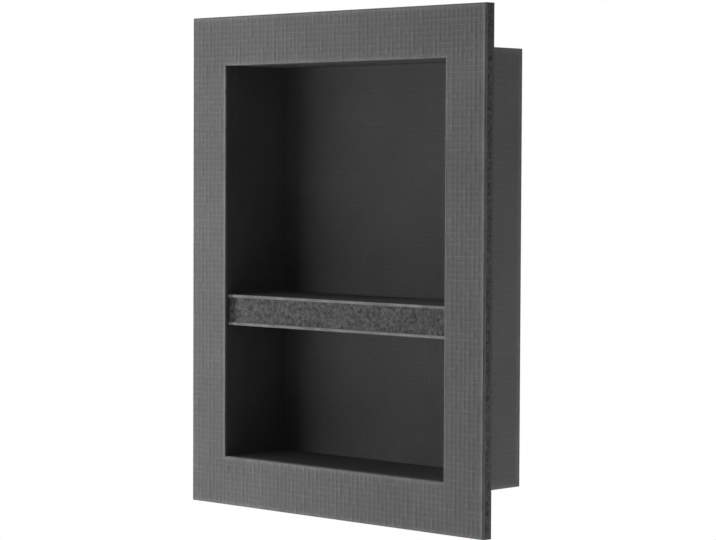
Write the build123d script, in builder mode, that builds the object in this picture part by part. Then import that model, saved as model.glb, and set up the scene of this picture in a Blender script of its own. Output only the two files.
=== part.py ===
"""Shower niche insert, glued up from flat tile-backer board and recessed between two wall studs.

A wide flange lies against the studs, an open-fronted box of four walls and a back panel goes back
between them, and one thick shelf divides the box into a tall upper bay and a low lower bay.

The origin is the middle of the opening on the back of the flange, the plane that meets the studs.
X is to the right seen from the room, Y goes into the wall and Z is up. Sizes are in millimetres.
"""
import os

from build123d import *

# Clear opening, 12 by 16 inches, and how far the flange reaches past it on every side
opening_width = 304.8
opening_height = 406.4
flange_margin = 50.8

# Board thicknesses
flange_thickness = 12.0
wall_thickness = 12.0
back_thickness = 12.0
shelf_thickness = 31.75

# The box reaches this far behind the flange, within the 89 mm depth of a stud
box_depth = 88.0

# The box's front end is let into a rebate in the back of the flange
rebate_depth = 3.0

# Shelf: height of its underside above the opening's floor, step back from the flange's face,
# and glue line at each end
lower_bay_height = 137.25
shelf_setback = 3.0
shelf_end_gap = 0.3

# Cut front edge of the shelf: two hard skins stand a little proud of the softer core
skin_thickness = 3.0
core_recess = 0.8

# Eased edges of the coated board: round the flange's face, round the box's rear, and along its corners
face_round = 2.0
rear_round = 1.0
corner_round = 2.0

# Sizes that follow from those above
flange_width = opening_width + 2 * flange_margin
flange_height = opening_height + 2 * flange_margin
box_width = opening_width + 2 * wall_thickness
box_height = opening_height + 2 * wall_thickness
side_middle = (opening_width + wall_thickness) / 2
end_middle = (opening_height + wall_thickness) / 2
shelf_length = opening_width - 2 * shelf_end_gap
shelf_front = shelf_setback - flange_thickness
shelf_rear = box_depth - back_thickness
shelf_depth = shelf_rear - shelf_front
shelf_middle = lower_bay_height + (shelf_thickness - opening_height) / 2

# Planes across the wall's depth: both face the room, so an extrusion from them comes forward
flange_back = Plane.XZ
box_rear = Plane.XZ.offset(-box_depth)

os.makedirs("parts", exist_ok=True)


# Flange: a plate with the opening cut out, its front edges eased, and a rebate behind for the box
with BuildPart() as front_flange:
    with BuildSketch(flange_back):
        Rectangle(flange_width, flange_height)
        Rectangle(opening_width, opening_height, mode=Mode.SUBTRACT)
    extrude(amount=flange_thickness)
    with BuildSketch(flange_back):
        RectangleRounded(box_width, box_height, corner_round)
    extrude(amount=rebate_depth, mode=Mode.SUBTRACT)
    fillet(front_flange.faces().sort_by(Axis.Y).first.edges(), radius=face_round)
front_flange.part.label = "front_flange"
export_step(front_flange.part, "parts/front_flange.step")


# Outside of the box with its eased corners, which the four wall boards are cut from
with BuildPart() as box_form:
    with BuildSketch(box_rear):
        RectangleRounded(box_width, box_height, corner_round)
    extrude(amount=box_depth + rebate_depth)
    fillet(box_form.faces().sort_by(Axis.Y).last.edges(), radius=rear_round)


# Each wall board: its place across the opening, and its width and height seen from the room
# The sides run the full height, and the top and the bottom fit between them
wall_boards = {
    "left_wall": (-side_middle, 0, wall_thickness, box_height),
    "right_wall": (side_middle, 0, wall_thickness, box_height),
    "top_wall": (0, end_middle, opening_width, wall_thickness),
    "bottom_wall": (0, -end_middle, opening_width, wall_thickness),
}
for label, (across, up, width, height) in wall_boards.items():
    with BuildPart() as wall:
        add(box_form.part)
        with BuildSketch(box_rear):
            with Locations((across, up)):
                Rectangle(width, height)
        extrude(amount=box_depth + rebate_depth, mode=Mode.INTERSECT)
    wall.part.label = label
    export_step(wall.part, f"parts/{label}.step")


# Back panel: set in between the four walls, flush with their rear edges
with BuildPart() as back_panel:
    with BuildSketch(box_rear):
        Rectangle(opening_width, opening_height)
    extrude(amount=back_thickness)
back_panel.part.label = "back_panel"
export_step(back_panel.part, "parts/back_panel.step")


# Shelf: a section seen from the right, with the core worn back between the skins, drawn out both ways
with BuildPart() as shelf:
    with BuildSketch(Plane.YZ):
        with Locations((shelf_front + shelf_depth / 2, shelf_middle)):
            Rectangle(shelf_depth, shelf_thickness)
        with Locations((shelf_front + core_recess / 2, shelf_middle)):
            Rectangle(core_recess, shelf_thickness - 2 * skin_thickness, mode=Mode.SUBTRACT)
    extrude(amount=shelf_length / 2, both=True)
shelf.part.label = "shelf"
export_step(shelf.part, "parts/shelf.step")
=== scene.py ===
# %% [markdown]
# # A shower niche insert, ready for tile
# The real thing is glued up from flat foam board. Each board is a sandwich: a dark foam core between two
# thin cement skins, and a woven glass mesh lies in each skin and shows through it as a fine grid.
# The imported model already has the boards at their true size, so this script gives each one its surface:
# the grid of the mesh as real relief, and the layers of the sandwich on every cut edge.
# The first step loads that model and reads where each board is.

# %% Load the frame
import math

import bmesh
import bpy
import numpy as np
from mathutils import Matrix, Vector


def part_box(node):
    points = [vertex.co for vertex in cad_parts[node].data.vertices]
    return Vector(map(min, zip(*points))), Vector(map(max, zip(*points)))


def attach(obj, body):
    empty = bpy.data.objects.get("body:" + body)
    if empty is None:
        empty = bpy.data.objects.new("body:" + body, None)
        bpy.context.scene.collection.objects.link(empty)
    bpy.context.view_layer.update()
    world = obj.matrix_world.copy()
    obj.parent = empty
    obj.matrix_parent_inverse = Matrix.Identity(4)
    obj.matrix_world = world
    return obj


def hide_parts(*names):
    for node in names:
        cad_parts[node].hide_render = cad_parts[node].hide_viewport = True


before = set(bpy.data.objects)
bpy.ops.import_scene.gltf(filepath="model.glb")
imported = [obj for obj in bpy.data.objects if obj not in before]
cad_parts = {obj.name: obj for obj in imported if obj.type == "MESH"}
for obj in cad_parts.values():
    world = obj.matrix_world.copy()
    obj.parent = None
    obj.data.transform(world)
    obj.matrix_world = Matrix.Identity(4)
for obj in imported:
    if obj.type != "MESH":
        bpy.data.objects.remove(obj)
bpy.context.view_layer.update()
mm = 0.001

boards = {node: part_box(node) for node in sorted(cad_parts)}
for node, (low, high) in boards.items():
    print(node, "mm:", [round(v / mm, 1) for v in high - low])

# %% [markdown]
# ## Three small helpers
# A node tree is easier to read when each node is one call, so one function adds a node, sets its settings
# and fills its inputs, each with a plain value, with an output, or with the first output of a node.
# Colours are written as the hex values that a screen shows. Blender's shaders work in linear light, so
# one function turns a hex value into that. The third makes a material that has no nodes yet.

# %% Helpers for nodes, colours and materials
def add(tree, kind, inputs=None, **settings):
    """Adds a node of this kind to a tree. Its inputs are named by socket name or number."""
    node = tree.nodes.new(kind)
    for name, value in settings.items():
        setattr(node, name, value)
    for name, value in (inputs or {}).items():
        source = value.outputs[0] if isinstance(value, bpy.types.Node) else value
        if isinstance(source, bpy.types.NodeSocket):
            tree.links.new(source, node.inputs[name])
        else:
            node.inputs[name].default_value = source
    return node


def linear(hex_colour):
    """A hex colour such as #808080 as linear red, green, blue and full alpha, by the sRGB curve."""
    channels = [int(hex_colour[i:i + 2], 16) / 255 for i in (1, 3, 5)]
    return [c / 12.92 if c <= 0.04045 else ((c + 0.055) / 1.055) ** 2.4 for c in channels] + [1.0]


def bare_material(name):
    """A material whose node tree is still empty."""
    material = bpy.data.materials.new(name)
    material.use_nodes = True
    material.node_tree.nodes.clear()
    return material


print("mid grey in linear light:", [round(c, 3) for c in linear("#808080")])

# %% [markdown]
# ## The coat: polymer cement over glass mesh
# The faces are a trowelled polymer-cement coat, matte and a neutral dark grey. Its colour is lighter on
# the raised strands of the mesh and darker in the hollows between them: partly the mesh showing through
# the thin coat, and partly a painted highlight on the strands and painted shade in the hollows, which
# draws the strands that the lamps leave flat. It is paler along the eased edges, partly from wear and
# partly as a painted highlight along each arris, and cloudy over a hand's width, as cement dries.
# The strands are real relief, made further down, and each point carries how bare the strand lies there
# in the attribute named strand. The colour reads that attribute, so paint and relief can't drift apart.
# Real cement grit is about 0.3 mm, too fine for one pixel here, so it is drawn at 1.3 mm.

# %% Coat material
# The hollow and strand greys paint shade and highlight onto the weave; the third grey paints wear and a
# highlight on the arrises
hollow_shade_grey, strand_highlight_grey, wear_and_highlight_grey = "#636363", "#787878", "#848484"
cloud_size = 70 * mm
wear_size = 14 * mm
grit_size = 1.3 * mm
grit_height = 0.15 * mm
grit_strength = 0.5
noise_range = {"From Min": 0.3, "From Max": 0.7}
cloud_tones = {"To Min": 0.93, "To Max": 1.07}
grit_tones = {"To Min": 0.9, "To Max": 1.1}
coat_roughness = {"To Min": 0.74, "To Max": 0.9}
dull_specular = 0.05


def trowelled_cement_coat():
    """Matte cement with clouds and fine grit, a painted highlight on the strands and painted shade in
    the hollows, and paler at the arrises from wear and a painted highlight.
    """
    material = bare_material("trowelled_cement_coat")
    tree = material.node_tree
    place = add(tree, "ShaderNodeTexCoord").outputs["Object"]
    strand = add(tree, "ShaderNodeAttribute", attribute_name="strand").outputs["Fac"]
    wear_and_highlight = add(tree, "ShaderNodeAttribute", attribute_name="wear_and_highlight").outputs["Fac"]
    clouds = add(tree, "ShaderNodeTexNoise", {"Vector": place, "Scale": 1 / cloud_size, "Detail": 3.0})
    grit = add(tree, "ShaderNodeTexNoise", {"Vector": place, "Scale": 1 / grit_size, "Detail": 2.0})
    patches = add(tree, "ShaderNodeTexNoise", {"Vector": place, "Scale": 1 / wear_size, "Detail": 2.0})
    # Painted light: strands lighter and hollows darker, partly the mesh showing through the thin coat
    cement = add(tree, "ShaderNodeMix",
                 {"Factor": strand, "A": linear(hollow_shade_grey), "B": linear(strand_highlight_grey)},
                 data_type="RGBA").outputs["Result"]
    # Paler at the arrises: partly wear, partly a painted highlight along each eased edge
    patchy_wear_and_highlight = add(tree, "ShaderNodeMath", {0: wear_and_highlight, 1: patches}, operation="MULTIPLY")
    edge = add(tree, "ShaderNodeMix", {"Factor": patchy_wear_and_highlight, "A": cement, "B": linear(wear_and_highlight_grey)},
               data_type="RGBA").outputs["Result"]
    cloud_tone = add(tree, "ShaderNodeMapRange", {"Value": clouds, **noise_range, **cloud_tones})
    grit_tone = add(tree, "ShaderNodeMapRange", {"Value": grit, **noise_range, **grit_tones})
    tone = add(tree, "ShaderNodeMath", {0: cloud_tone, 1: grit_tone}, operation="MULTIPLY")
    colour = add(tree, "ShaderNodeVectorMath", {0: edge, "Scale": tone}, operation="SCALE")
    rough = add(tree, "ShaderNodeMapRange", {"Value": grit, **noise_range, **coat_roughness})
    bump = add(tree, "ShaderNodeBump",
               {"Height": grit, "Strength": grit_strength, "Distance": grit_height})
    shader = add(tree, "ShaderNodeBsdfPrincipled",
                 {"Base Color": colour, "Roughness": rough, "Specular IOR Level": dull_specular,
                  "Normal": bump})
    add(tree, "ShaderNodeOutputMaterial", {"Surface": shader})
    return material


coat = trowelled_cement_coat()
print("made", coat.name)

# %% [markdown]
# ## The cut edges: skin and core
# A saw cut bares the sandwich. The skin is clean cement, dull where it was only cut and rubbed pale in
# patches where hands pass over it. Where the eased arris of the flange runs onto the skin, that paler
# tone is also a painted highlight along the arris. The core is dark extruded foam: the saw opens its
# cells, so it is dull, pitted and speckled. The cells are well under a millimetre, so their speckle is
# drawn at 3.2 mm to show at all, and the finer grain of the skin at 1.5 mm.

# %% Cut-edge materials
grain_range = {"From Min": 0.32, "From Max": 0.68}
patch_range = {"From Min": 0.35, "From Max": 0.65}
least_wear = 0.4
sawn_roughness = 0.9
pit_strength = 0.7


def sawn_edge(name, dark, light, worn_and_highlit, grain, pit_depth):
    """A sawn surface, dark and light from grain to grain, and paler where it is rubbed or where a
    highlight is painted along an eased arris.
    """
    material = bare_material(name)
    tree = material.node_tree
    place = add(tree, "ShaderNodeTexCoord").outputs["Object"]
    wear_and_highlight = add(tree, "ShaderNodeAttribute", attribute_name="wear_and_highlight").outputs["Fac"]
    grains = add(tree, "ShaderNodeTexNoise",
                 {"Vector": place, "Scale": 1 / grain, "Detail": 4.0, "Roughness": 0.6})
    patches = add(tree, "ShaderNodeTexNoise", {"Vector": place, "Scale": 1 / wear_size, "Detail": 2.0})
    level = add(tree, "ShaderNodeMapRange", {"Value": grains, **grain_range})
    grained = add(tree, "ShaderNodeMix", {"Factor": level, "A": linear(dark), "B": linear(light)},
                  data_type="RGBA").outputs["Result"]
    bared = add(tree, "ShaderNodeMapRange", {"Value": patches, **patch_range, "To Min": least_wear})
    # Paler where rubbed: wear, and on the flange's eased arrises a painted highlight
    patchy_wear_and_highlight = add(tree, "ShaderNodeMath", {0: wear_and_highlight, 1: bared}, operation="MULTIPLY")
    colour = add(tree, "ShaderNodeMix", {"Factor": patchy_wear_and_highlight, "A": grained, "B": linear(worn_and_highlit)},
                 data_type="RGBA").outputs["Result"]
    bump = add(tree, "ShaderNodeBump",
               {"Height": grains, "Strength": pit_strength, "Distance": pit_depth})
    shader = add(tree, "ShaderNodeBsdfPrincipled",
                 {"Base Color": colour, "Roughness": sawn_roughness,
                  "Specular IOR Level": dull_specular, "Normal": bump})
    add(tree, "ShaderNodeOutputMaterial", {"Surface": shader})
    return material


# The skin's pale grey is real wear on the shelf's lips and a painted highlight on the flange's arrises
skin = sawn_edge("sawn_cement_skin", dark="#4c4c4c", light="#666666", worn_and_highlit="#868686",
                 grain=1.5 * mm, pit_depth=0.1 * mm)
core = sawn_edge("sawn_foam_core", dark="#343434", light="#646464", worn_and_highlit="#646464",
                 grain=3.2 * mm, pit_depth=0.6 * mm)
print("made", skin.name, "and", core.name)

# %% [markdown]
# ## Rows for strands and layers
# The relief needs points where the strands run, and few between them. So a board is cut from a box grid
# whose rows lie on the middle and both flanks of each strand, and on the planes where skin and core meet.
# The strands are spaced so that a whole number of them crosses the opening. Rows that come too near an
# edge are left out, because the edges are rounded later, and an outer edge with no row near it gets one.

# %% Rows of the box grid
opening_low, opening_high = boards["back_panel"]
strands_across_opening = 54
pitch = (opening_high.x - opening_low.x) / strands_across_opening
half_strand = 0.75 * mm
clear_of_edge = 2.0 * mm
rim = 2.1 * mm
skin_thickness = 3.0 * mm


def strand_rows(low, high, edges=(), others=()):
    """Rows from edge to edge: the middle and both flanks of each strand, where they lie clear of edges."""
    bounds = np.array([low, high, *edges])
    middles = (np.arange(math.floor(low / pitch), math.ceil(high / pitch)) + 0.5) * pitch
    rows = np.concatenate([middles - half_strand, middles, middles + half_strand])
    gaps = np.abs(bounds[:, None] - rows).min(axis=0)
    clear = rows[(rows > low) & (rows < high) & (gaps > clear_of_edge)]
    taken = np.array([*clear, low, high])
    rims = [r for r in (low + rim, high - rim) if np.abs(taken - r).min() > half_strand]
    return np.array(sorted({low, high, *edges, *others, *clear, *rims}))


def layer_rows(low, high, core_steps):
    """Rows through the thickness: skin, core in equal steps, skin."""
    core_low, core_high = low + skin_thickness, high - skin_thickness
    return np.array([low, *np.linspace(core_low, core_high, core_steps + 1), high])


print(f"strand pitch {pitch / mm:.2f} mm")

# %% [markdown]
# ## Cutting the board blanks
# A cell of the box grid is board or air, and the blank is the closed surface between the two. That one
# rule gives every board its true form: the flange with its opening and the rebate behind it, and the
# shelf with its worn-back core. Each face keeps the layer that it shows: coat on the two broad sides,
# skin or core on the cut edges. A fourth layer, wrap, is coat that is drawn round an edge, with no mesh
# in it. It is given later, to the faces that need it.

# %% The blank's surface
layer_numbers = {"coat": 0, "skin": 1, "core": 2, "wrap": 3}


def blank(name, rows, thick_axis, air=()):
    """Closed surface of a box grid. Air holds boxes (low, high) that are cut away."""
    middles = [(r[1:] + r[:-1]) / 2 for r in rows]
    solid = np.ones([len(m) for m in middles], bool)
    for low, high in air:
        inside = [(m > low[a]) & (m < high[a]) for a, m in enumerate(middles)]
        solid &= ~(inside[0][:, None, None] & inside[1][None, :, None] & inside[2][None, None, :])
    padded = np.pad(solid, 1).astype(int)
    depth = len(middles[thick_axis])
    corners, layers = [], []
    for axis in range(3):
        trim = tuple(slice(None) if a == axis else slice(1, -1) for a in range(3))
        change = np.diff(padded, axis=axis)[trim]
        b, c = (axis + 1) % 3, (axis + 2) % 3
        for sign in (1, -1):
            at = np.argwhere(change == sign)
            around = [(0, 0), (1, 0), (1, 1), (0, 1)]
            quad = np.repeat(at[:, None, :], 4, axis=1)
            for corner, (step_b, step_c) in enumerate(around if sign < 0 else around[::-1]):
                quad[:, corner, b] += step_b
                quad[:, corner, c] += step_c
            corners.append(quad)
            level = at[:, thick_axis]
            outermost = (level == 0) | (level == depth - 1)
            cut = np.where(outermost, layer_numbers["skin"], layer_numbers["core"])
            layers.append(np.full(len(at), layer_numbers["coat"]) if axis == thick_axis else cut)
    corners, layers = np.concatenate(corners), np.concatenate(layers)
    used, faces = np.unique(corners.reshape(-1, 3), axis=0, return_inverse=True)
    places = np.stack([rows[a][used[:, a]] for a in range(3)], axis=1)
    mesh = bpy.data.meshes.new(name)
    mesh.from_pydata(places.tolist(), [], faces.reshape(-1, 4).tolist())
    mesh.attributes.new("layer", "INT", "FACE").data.foreach_set("value", layers.astype(np.int32))
    return mesh


print("layers of a board:", ", ".join(layer_numbers))

# %% [markdown]
# ## Easing the arrises
# An arris is the sharp line where two faces meet, and on a coated board it is never razor sharp. The
# bevel rounds the chosen edges of the blank, and only those: an edge that another board covers stays
# square. Hands rub the coat there, and the rounded arris catches the light, so each point keeps a share
# of paler paint that stands for both wear and a painted highlight: fully on the arris, and less in each
# of the next rows of points.

# %% Bevel on chosen edges
# Shares of paler paint, for wear and a painted highlight, in the rows beside an arris
wear_and_highlight_rows = (0.7, 0.45, 0.25)
square_angle = math.radians(60)
round_steps = 3
round_profile = 0.5


def ease(mesh, chosen, radius):
    """Rounds the square edges whose middle the chosen rule accepts, and marks them for paler
    paint, which stands for wear and a painted arris highlight.
    """
    work = bmesh.new()
    work.from_mesh(mesh)
    # Share of paler paint at each point, for wear and a painted arris highlight
    wear_and_highlight = work.verts.layers.float.new("wear_and_highlight")
    layer = work.faces.layers.int["layer"]
    square = [e for e in work.edges if e.calc_face_angle() > square_angle]
    edges = [e for e in square if chosen((e.verts[0].co + e.verts[1].co) / 2)]
    row = {v for e in edges for v in e.verts}
    for vertex in row:
        vertex[wear_and_highlight] = 1.0
    done = set(row)
    for share in wear_and_highlight_rows:
        row = {e.other_vert(v) for v in row for e in v.link_edges} - done
        row = {v for v in row if all(f[layer] == layer_numbers["coat"] for f in v.link_faces)}
        for vertex in row:
            vertex[wear_and_highlight] = share
        done |= row
    rounded = bmesh.ops.bevel(work, geom=edges, offset=radius, segments=round_steps,
                              profile=round_profile, affect="EDGES", material=-1)
    for face in rounded["faces"]:
        face[layer] = layer_numbers["wrap"]
    work.to_mesh(mesh)
    work.free()
    print(f"{mesh.name}: {len(edges)} short edges rounded to {radius / mm:.1f} mm")


print("rubbed share in the rows beside an arris:", wear_and_highlight_rows)

# %% [markdown]
# ## The glass mesh, as relief
# The mesh is a plain weave: warp strands run one way, weft strands the other, and at each crossing one
# goes over and its neighbours go under. It follows one rule all over a face, so it is a Geometry Nodes
# tree, built over the next cells. Its sizes are inputs, because each board sets its own.

# %% Tree for the mesh relief, with its inputs
weave = bpy.data.node_groups.new("glass_mesh_relief", "GeometryNodeTree")
weave.interface.new_socket("Geometry", in_out="OUTPUT", socket_type="NodeSocketGeometry")
weave_inputs = {"Geometry": ("Geometry",),
                "Vector": ("Warp Axis", "Weft Axis"),
                "Float": ("Pitch", "Half Strand", "Relief", "Waver", "Pit Depth", "Pit Size", "Seed"),
                "Material": ("Coat", "Skin", "Core")}
for kind, names in weave_inputs.items():
    for name in names:
        weave.interface.new_socket(name, in_out="INPUT", socket_type="NodeSocket" + kind)
given = add(weave, "NodeGroupInput").outputs
place = add(weave, "GeometryNodeInputPosition")
normal = add(weave, "GeometryNodeInputNormal")
inwards = add(weave, "ShaderNodeVectorMath", {0: normal, "Scale": -1.0}, operation="SCALE")
print("inputs of the tree:", ", ".join(name for names in weave_inputs.values() for name in names))

# %% [markdown]
# ## Keeping the relief off the edges
# Boards have to meet along straight lines, so the relief stays off their edges. A point counts as inside
# a layer only if every face round it has that layer. A layer's test is 1 or 0 on a face, and on a point
# it is the mean of the faces round it, so a mean of nearly 1 tells that they all agree.

# %% Points inside a layer
all_agree = 0.99

layer = add(weave, "GeometryNodeInputNamedAttribute", {"Name": "layer"}, data_type="INT")
is_layer, inside = {}, {}
for name in ("coat", "skin", "core"):
    is_layer[name] = add(weave, "FunctionNodeCompare", {"A": layer, "B": layer_numbers[name]},
                         data_type="INT", operation="EQUAL")
for name in ("coat", "core"):
    on_faces = add(weave, "GeometryNodeFieldOnDomain", {"Value": is_layer[name]}, domain="FACE",
                   data_type="FLOAT")
    inside[name] = add(weave, "FunctionNodeCompare", {"A": on_faces, "B": all_agree},
                       data_type="FLOAT", operation="GREATER_THAN")
print("relief and pits go only inside:", ", ".join(inside))

# %% [markdown]
# ## Warp and weft
# Each strand is a ridge. A ping-pong of the distance across the strands is highest on the middle of each,
# so the ridge is its top part. Along its length a strand lies more or less deep in the coat, as the
# trowel left it, so noise that is stretched along the strand lets its ridge come and go. Where a strand
# meets one of the other set, one of the two goes under and sinks.

# %% Heights of the strands
streak = 20 * mm
row_step = 0.77
least_bare = 0.2
crossing_reach = 1.5
sink = 0.5

half_pitch = add(weave, "ShaderNodeMath", {0: given["Pitch"], 1: 0.5}, operation="MULTIPLY")
flank = add(weave, "ShaderNodeMath", {0: half_pitch, 1: given["Half Strand"]}, operation="SUBTRACT")
reach = add(weave, "ShaderNodeMath", {0: given["Half Strand"], 1: -crossing_reach, 2: half_pitch},
            operation="MULTIPLY_ADD")
ridges, crossings, counts = [], [], []
for axis, other in (("Warp Axis", "Weft Axis"), ("Weft Axis", "Warp Axis")):
    across = add(weave, "ShaderNodeVectorMath", {0: place, 1: given[axis]},
                 operation="DOT_PRODUCT").outputs["Value"]
    along = add(weave, "ShaderNodeVectorMath", {0: place, 1: given[other]},
                operation="DOT_PRODUCT").outputs["Value"]
    fold = add(weave, "ShaderNodeMath", {0: across, 1: half_pitch}, operation="PINGPONG")
    turns = add(weave, "ShaderNodeMath", {0: across, 1: given["Pitch"]}, operation="DIVIDE")
    count = add(weave, "ShaderNodeMath", {0: turns}, operation="FLOOR")
    row = add(weave, "ShaderNodeMath", {0: count, 1: row_step}, operation="MULTIPLY")
    run = add(weave, "ShaderNodeMath", {0: along, 1: streak}, operation="DIVIDE")
    track = add(weave, "ShaderNodeCombineXYZ", {0: row, 1: run, 2: given["Seed"]})
    lie = add(weave, "ShaderNodeTexNoise", {"Vector": track, "Scale": 1.0, "Detail": 1.0})
    bared = add(weave, "ShaderNodeMapRange", {"Value": lie, **noise_range, "To Min": least_bare})
    ridge = add(weave, "ShaderNodeMapRange", {"Value": fold, "From Min": flank, "From Max": half_pitch})
    ridges.append(add(weave, "ShaderNodeMath", {0: ridge, 1: bared}, operation="MULTIPLY"))
    crossings.append(add(weave, "ShaderNodeMath", {0: fold, 1: reach}, operation="GREATER_THAN"))
    counts.append(count)

# At every second crossing the warp goes under, and at the others the weft does
crossing = add(weave, "ShaderNodeMath", {0: counts[0], 1: counts[1]}, operation="ADD")
odd = add(weave, "ShaderNodeMath", {0: crossing, 1: 2.0}, operation="FLOORED_MODULO")
even = add(weave, "ShaderNodeMath", {0: 1.0, 1: odd}, operation="SUBTRACT")
heights = []
for ridge, turn, crossed in ((ridges[0], odd, crossings[1]), (ridges[1], even, crossings[0])):
    under = add(weave, "ShaderNodeMath", {0: turn, 1: crossed}, operation="MULTIPLY")
    left = add(weave, "ShaderNodeMath", {0: under, 1: -sink, 2: 1.0}, operation="MULTIPLY_ADD")
    heights.append(add(weave, "ShaderNodeMath", {0: ridge, 1: left}, operation="MULTIPLY"))
height = add(weave, "ShaderNodeMath", {0: heights[0], 1: heights[1]}, operation="MAXIMUM")
print("nodes so far:", len(weave.nodes))

# %% [markdown]
# ## Hollows, bends and pits
# The hollows between the strands go into the board, so that the boards keep their outside size. Slow
# noise bends the strands a little within the face, because no mesh is laid dead straight. The same tree
# pits the sawn foam, where the saw has opened cells of uneven depth.

# %% Offsets of the points
bend_size = 45 * mm
noise_mean = (0.5, 0.5, 0.5)

below = add(weave, "ShaderNodeMath", {0: 1.0, 1: height}, operation="SUBTRACT")
hollow = add(weave, "ShaderNodeMath", {0: below, 1: given["Relief"]}, operation="MULTIPLY")
sunk = add(weave, "ShaderNodeVectorMath", {0: inwards, "Scale": hollow}, operation="SCALE")
shifted = add(weave, "ShaderNodeVectorMath", {0: place, 1: given["Seed"]}, operation="ADD")
slow = add(weave, "ShaderNodeTexNoise", {"Vector": shifted, "Scale": 1 / bend_size, "Detail": 2.0})
bend = add(weave, "ShaderNodeVectorMath", {0: slow.outputs["Color"], 1: noise_mean},
           operation="SUBTRACT")
in_plane = add(weave, "ShaderNodeVectorMath", {0: given["Warp Axis"], 1: given["Weft Axis"]},
               operation="ADD")
flat_bend = add(weave, "ShaderNodeVectorMath", {0: bend, 1: in_plane}, operation="MULTIPLY")
waver = add(weave, "ShaderNodeVectorMath", {0: flat_bend, "Scale": given["Waver"]}, operation="SCALE")
woven = add(weave, "ShaderNodeVectorMath", {0: sunk, 1: waver}, operation="ADD")

fineness = add(weave, "ShaderNodeMath", {0: 1.0, 1: given["Pit Size"]}, operation="DIVIDE")
pits = add(weave, "ShaderNodeTexNoise", {"Vector": shifted, "Scale": fineness, "Detail": 2.0})
deep = add(weave, "ShaderNodeMath", {0: pits, 1: given["Pit Depth"]}, operation="MULTIPLY")
pitted = add(weave, "ShaderNodeVectorMath", {0: inwards, "Scale": deep}, operation="SCALE")
print("nodes so far:", len(weave.nodes))

# %% [markdown]
# ## The tree's result
# Last, the tree stores how bare the strand lies at each point, for the coat's colour, which paints a
# highlight on the strands and shade in the hollows: where the relief is less than full, the coat hides
# more of the mesh and that painted light is weaker. Then it moves the points of the coat and the core, and
# gives each layer its material. What is wrapped round an edge has the coat's material.

# %% Relief on the coat, pits in the core, one material for each layer
full_relief = 0.25 * mm

# This value sets the painted highlight on the strands and the painted shade in the hollows
share = add(weave, "ShaderNodeMath", {0: given["Relief"], 1: full_relief}, operation="DIVIDE")
bare = add(weave, "ShaderNodeMath", {0: height, 1: share}, operation="MULTIPLY")
shown = add(weave, "ShaderNodeMath", {0: bare, 1: inside["coat"]}, operation="MULTIPLY")
shape = add(weave, "GeometryNodeStoreNamedAttribute",
            {"Geometry": given["Geometry"], "Name": "strand", "Value": shown},
            data_type="FLOAT", domain="POINT")
for where, offset in ((inside["coat"], woven), (inside["core"], pitted)):
    shape = add(weave, "GeometryNodeSetPosition",
                {"Geometry": shape, "Selection": where, "Offset": offset})
shape = add(weave, "GeometryNodeRealizeInstances", {"Geometry": shape})
shape = add(weave, "GeometryNodeSetMaterial", {"Geometry": shape, "Material": given["Coat"]})
for where, finish in ((is_layer["skin"], given["Skin"]), (is_layer["core"], given["Core"])):
    shape = add(weave, "GeometryNodeSetMaterial",
                {"Geometry": shape, "Selection": where, "Material": finish})
add(weave, "NodeGroupOutput", {"Geometry": shape})
print("tree", weave.name, "with", len(weave.nodes), "nodes")

# %% [markdown]
# ## Dressing a board
# Each blank gets the tree as a modifier, with its inputs set by their identifiers. The result is then
# turned into a plain mesh, shaded smooth except at its square edges, and takes the place of its board.

# %% Turn a blank into a finished board
strand_waver = 0.9 * mm
pit_size = 3.0 * mm
sharp_angle = math.radians(55)
X, Y, Z = (Vector(v) for v in ((1, 0, 0), (0, 1, 0), (0, 0, 1)))


def dress(name, node, mesh, axes, relief, pit_depth, seed):
    """Weaves the mesh into a blank and puts the finished board in place of its node."""
    piece = bpy.data.objects.new(name, mesh)
    bpy.context.scene.collection.objects.link(piece)
    modifier = piece.modifiers.new("glass mesh", "NODES")
    modifier.node_group = weave
    sockets = {s.name: s.identifier for s in weave.interface.items_tree if s.in_out == "INPUT"}
    values = {"Warp Axis": axes[0], "Weft Axis": axes[1], "Pitch": pitch, "Half Strand": half_strand,
              "Relief": relief, "Waver": strand_waver, "Pit Depth": pit_depth, "Pit Size": pit_size,
              "Seed": seed, "Coat": coat, "Skin": skin, "Core": core}
    for key, value in values.items():
        modifier[sockets[key]] = value
    ready = piece.evaluated_get(bpy.context.evaluated_depsgraph_get())
    finished = bpy.data.meshes.new_from_object(ready)
    piece.modifiers.clear()
    piece.data = finished
    finished.name = name
    finished.shade_smooth()
    finished.set_sharp_from_angle(angle=sharp_angle)
    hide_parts(node)
    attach(piece, "root")
    finished.calc_loop_triangles()
    print(name, len(finished.loop_triangles), "triangles", [m.name for m in finished.materials])


# %% [markdown]
# ## The flange
# The front plate is what the eye meets first. The opening is cut right through it, and a shallow rebate
# behind takes the ends of the box's walls. The arrises of its face are eased by less than 2 mm, at the
# outside and round the opening. Outside, the sawn edge stays bare. Inside, the coat is wrapped round into
# the opening, so its sides have the tone of the walls they run into.

# %% Flange
flange_low, flange_high = boards["front_flange"]
box_low, box_high = boards["left_wall"][0], boards["right_wall"][1]
rebate_front = box_low.y
face_round = 1.6 * mm
through = 1.0
core_steps = 4
edge_pits = 0.2 * mm
touching = 0.01 * mm
micrometre_digits = 6
flange_seed = 1.0

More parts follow.
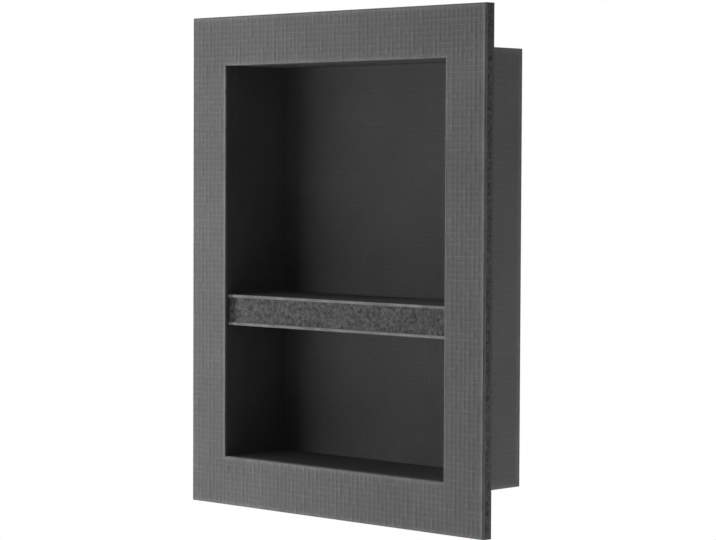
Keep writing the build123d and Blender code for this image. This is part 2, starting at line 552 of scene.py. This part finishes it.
opening = ((opening_low.x, -through, opening_low.z), (opening_high.x, through, opening_high.z))
rebate = ((box_low.x, rebate_front, box_low.z), (box_high.x, through, box_high.z))
depth_rows = [*layer_rows(flange_low.y, flange_high.y, core_steps), rebate_front]
flange_rows = [
    strand_rows(flange_low.x, flange_high.x, (opening_low.x, opening_high.x), (box_low.x, box_high.x)),
    np.unique(np.round(depth_rows, micrometre_digits)),
    strand_rows(flange_low.z, flange_high.z, (opening_low.z, opening_high.z), (box_low.z, box_high.z)),
]
flange_mesh = blank("flange_blank", flange_rows, 1, (opening, rebate))
face_layers = flange_mesh.attributes["layer"].data
for face in flange_mesh.polygons:
    if all(abs(face.center[a]) < opening_high[a] + touching for a in (0, 2)):
        face_layers[face.index].value = layer_numbers["wrap"]
ease(flange_mesh, lambda middle: middle.y < flange_low.y + face_round / 2, face_round)
dress("coated_flange", "front_flange", flange_mesh, (X, Z), full_relief, edge_pits, flange_seed)

# %% [markdown]
# ## The box behind it
# Four walls and a back panel. Each is a plain rectangle of board, so one loop cuts them all: what differs
# is the way it faces. The coat lies thicker on them than on the flange, so the mesh shows about half as
# much. Only the outer arrises, along the box's corners and round its rear, are open to the hand, and only
# those are eased.

# %% Walls and back panel
rear = max(high.y for low, high in boards.values())
rear_round = 1.0 * mm
wall_relief = 0.12 * mm
first_wall_seed = 2.0


def open_arris(middle):
    """The outer arrises of the box behind the flange: along its four corners and round its rear."""
    outer_x = min(middle.x - box_low.x, box_high.x - middle.x) < rear_round / 2
    outer_z = min(middle.z - box_low.z, box_high.z - middle.z) < rear_round / 2
    at_rear = rear - middle.y < rear_round / 2
    return outer_x + outer_z + at_rear >= 2


wall_facing = {"left_wall": 0, "right_wall": 0, "top_wall": 2, "bottom_wall": 2, "back_panel": 1}
for count, (node, facing) in enumerate(wall_facing.items()):
    low, high = boards[node]
    wall_rows = [layer_rows(low[a], high[a], core_steps) if a == facing else strand_rows(low[a], high[a])
                 for a in range(3)]
    wall_mesh = blank(node + "_blank", wall_rows, facing)
    if node != "back_panel":
        ease(wall_mesh, open_arris, rear_round)
    face_axes = [axis for a, axis in enumerate((X, Y, Z)) if a != facing]
    dress("coated_" + node, node, wall_mesh, face_axes, wall_relief, edge_pits, first_wall_seed + count)

# %% [markdown]
# ## The shelf
# The shelf is the one board whose sawn edge faces the room, so its sandwich is the detail to get right:
# two pale skins like pencil lines, and between them the pitted core, worn back by less than a millimetre.
# The front gets extra rows, close and even, so that the pits are real relief there and not only paint.

# %% Shelf
shelf_low, shelf_high = boards["shelf"]
core_recess = 0.8 * mm
lip_round = 0.3 * mm
pit_row = 1.4 * mm
closest_rows = 0.45 * pit_row
shelf_pits = 0.7 * mm
shelf_seed = 9.0

even_rows = np.arange(shelf_low.x + pit_row, shelf_high.x - pit_row / 2, pit_row)
long_rows = strand_rows(shelf_low.x, shelf_high.x)
spaced = [x for x in even_rows if np.abs(long_rows - x).min() > closest_rows]
shelf_steps = round((shelf_high.z - shelf_low.z - 2 * skin_thickness) / pit_row)
shelf_rows = [
    np.array(sorted({*long_rows, *spaced})),
    strand_rows(shelf_low.y, shelf_high.y, others=(shelf_low.y + core_recess,)),
    layer_rows(shelf_low.z, shelf_high.z, shelf_steps),
]
worn_back = ((-through, -through, shelf_low.z + skin_thickness),
             (through, shelf_low.y + core_recess, shelf_high.z - skin_thickness))
shelf_mesh = blank("shelf_blank", shelf_rows, 2, (worn_back,))
ease(shelf_mesh, lambda middle: middle.y < shelf_low.y + core_recess / 2, lip_round)
dress("sandwich_shelf", "shelf", shelf_mesh, (X, Y), wall_relief, shelf_pits, shelf_seed)

# %% [markdown]
# ## Pale floor
# The niche hangs in plain white, as it would hang in its wall, well above the floor. The floor is a pale
# sheet at the height of a shower floor. It is plain paint, which shows the niche's shadow, and it also
# glows for the camera and for gloss, through Light Path, so that it needs no more light: in part below
# the niche, and fully at its rim, where it runs out into the white.

# %% Floor
floor_drop = 1.4
floor_reach = 2.6
glow_below, glow_at_rim = 0.4, 1.0
shadow_reach = 1.0
white, pale_grey = linear("#ffffff"), linear("#e6e6e6")


def seen_directly(tree, strength):
    """This strength for rays from the camera, from gloss or through glass, and 0 for all others."""
    path = add(tree, "ShaderNodeLightPath").outputs
    gloss = add(tree, "ShaderNodeMath", {0: path["Is Camera Ray"], 1: path["Is Glossy Ray"]},
                operation="MAXIMUM")
    seen = add(tree, "ShaderNodeMath", {0: gloss, 1: path["Is Transmission Ray"]}, operation="MAXIMUM")
    return add(tree, "ShaderNodeMath", {0: seen, 1: strength}, operation="MULTIPLY")


def rolled_floor_paint():
    """Pale paint that glows more and more towards the floor's rim."""
    material = bare_material("rolled_pale_floor_paint")
    tree = material.node_tree
    place = add(tree, "ShaderNodeTexCoord").outputs["Object"]
    away = add(tree, "ShaderNodeVectorMath", {0: place}, operation="LENGTH").outputs["Value"]
    level = add(tree, "ShaderNodeMapRange",
                {"Value": away, "From Min": shadow_reach, "From Max": floor_reach,
                 "To Min": glow_below, "To Max": glow_at_rim}, interpolation_type="SMOOTHSTEP")
    paint = add(tree, "ShaderNodeBsdfDiffuse", {"Color": pale_grey})
    glow = add(tree, "ShaderNodeEmission", {"Color": white, "Strength": seen_directly(tree, level)})
    both = add(tree, "ShaderNodeAddShader", {0: paint, 1: glow})
    add(tree, "ShaderNodeOutputMaterial", {"Surface": both})
    return material


floor_mesh = bpy.data.meshes.new("floor")
corners = [(x * floor_reach, y * floor_reach, 0.0) for x, y in ((-1, -1), (1, -1), (1, 1), (-1, 1))]
floor_mesh.from_pydata(corners, [], [(0, 1, 2, 3)])
floor_mesh.materials.append(rolled_floor_paint())
floor = bpy.data.objects.new("floor", floor_mesh)
floor.location.z = -floor_drop
bpy.context.scene.collection.objects.link(floor)
print("floor", floor_drop, "m below the middle of the opening")

# %% [markdown]
# ## White ground
# To the camera and to gloss the world is white, by the same use of Light Path, so the background needs no
# more light on the object. To every other ray it is a weak grey fill, which lifts the shadows a little.

# %% World
fill_level = 0.08

world = bpy.data.worlds.new("white_ground")
bpy.context.scene.world = world
world.use_nodes = True
world.node_tree.nodes.clear()
fill = add(world.node_tree, "ShaderNodeBackground", {"Color": white, "Strength": fill_level})
backdrop = add(world.node_tree, "ShaderNodeBackground", {"Color": white, "Strength": 1.0})
ground = add(world.node_tree, "ShaderNodeMixShader",
             {0: seen_directly(world.node_tree, 1.0), 1: fill, 2: backdrop})
add(world.node_tree, "ShaderNodeOutputWorld", {"Surface": ground})
print("world", world.name, "with a fill of", fill_level)

# %% [markdown]
# ## Studio light
# A small soft lamp far to the left rakes across the front: it draws the grid of the mesh, fades from left
# to right, and reaches only the far right of the back wall. Light linking keeps it off the top and the
# bottom board, as a black card beside the lamp would, so the niche's ceiling and floor stay dark. A wide,
# flat and weaker lamp at the left front lights the back wall. It is level with the niche, so it only
# grazes the shelf, the ceiling and the floor. Two more stand behind the plane of the flange, where they
# reach the sides and the back of the box but can't shine into the niche.

# %% Lamps
def soft_lamp(name, place, width, height, watts):
    """A rectangular area lamp that looks at the middle of the niche."""
    lamp = bpy.data.lights.new(name, "AREA")
    lamp.shape = "RECTANGLE"
    lamp.size = width
    lamp.size_y = height
    lamp.energy = watts
    holder = bpy.data.objects.new(name, lamp)
    bpy.context.scene.collection.objects.link(holder)
    holder.location = place
    holder.rotation_mode = "QUATERNION"
    holder.rotation_quaternion = (-Vector(place)).to_track_quat("-Z", "Y")
    holder.visible_camera = False
    return holder


raking = soft_lamp("raking_left", place=(-2.12, -0.66, 0.02), width=0.25, height=0.25, watts=83.0)
soft_lamp("left_front", place=(-1.6, -2.0, 0.0), width=2.4, height=0.2, watts=21.5)
soft_lamp("low_right_rear", place=(1.5, 0.5, -0.7), width=1.0, height=1.0, watts=11.0)
soft_lamp("high_rear", place=(-0.5, 1.2, 1.3), width=1.2, height=1.2, watts=18.0)

shaded = bpy.data.collections.new("boards_shaded_from_raking_left")
for name in ("coated_top_wall", "coated_bottom_wall"):
    shaded.objects.link(bpy.data.objects[name])
for member in shaded.collection_objects:
    member.light_linking.link_state = "EXCLUDE"
raking.light_linking.receiver_collection = shaded

# %% [markdown]
# ## Camera
# The photograph is taken from the front right, a little above the middle of the niche, with a long lens.
# Those numbers come from fitting a camera to the edges of the flange, the opening, the shelf and the box.

# %% Camera
camera_place = (1.7449, -1.7946, 0.0981)
camera_turn, camera_tilt, camera_roll = (math.radians(d) for d in (43.754, 2.343, 0.245))
sensor_width_mm = 36.0
lens_mm = 125.7

camera_data = bpy.data.cameras.new("camera")
camera_data.sensor_width = sensor_width_mm
camera_data.lens = lens_mm
camera = bpy.data.objects.new("camera", camera_data)
bpy.context.scene.collection.objects.link(camera)
turned = Matrix.Rotation(camera_turn, 4, "Z") @ Matrix.Rotation(math.pi / 2 - camera_tilt, 4, "X")
camera.matrix_world = Matrix.Translation(camera_place) @ turned @ Matrix.Rotation(camera_roll, 4, "Z")
bpy.context.scene.camera = camera
bpy.context.scene.view_settings.view_transform = "Standard"
print("camera looks along", [round(v, 3) for v in camera.matrix_world.to_3x3() @ Vector((0, 0, -1))])
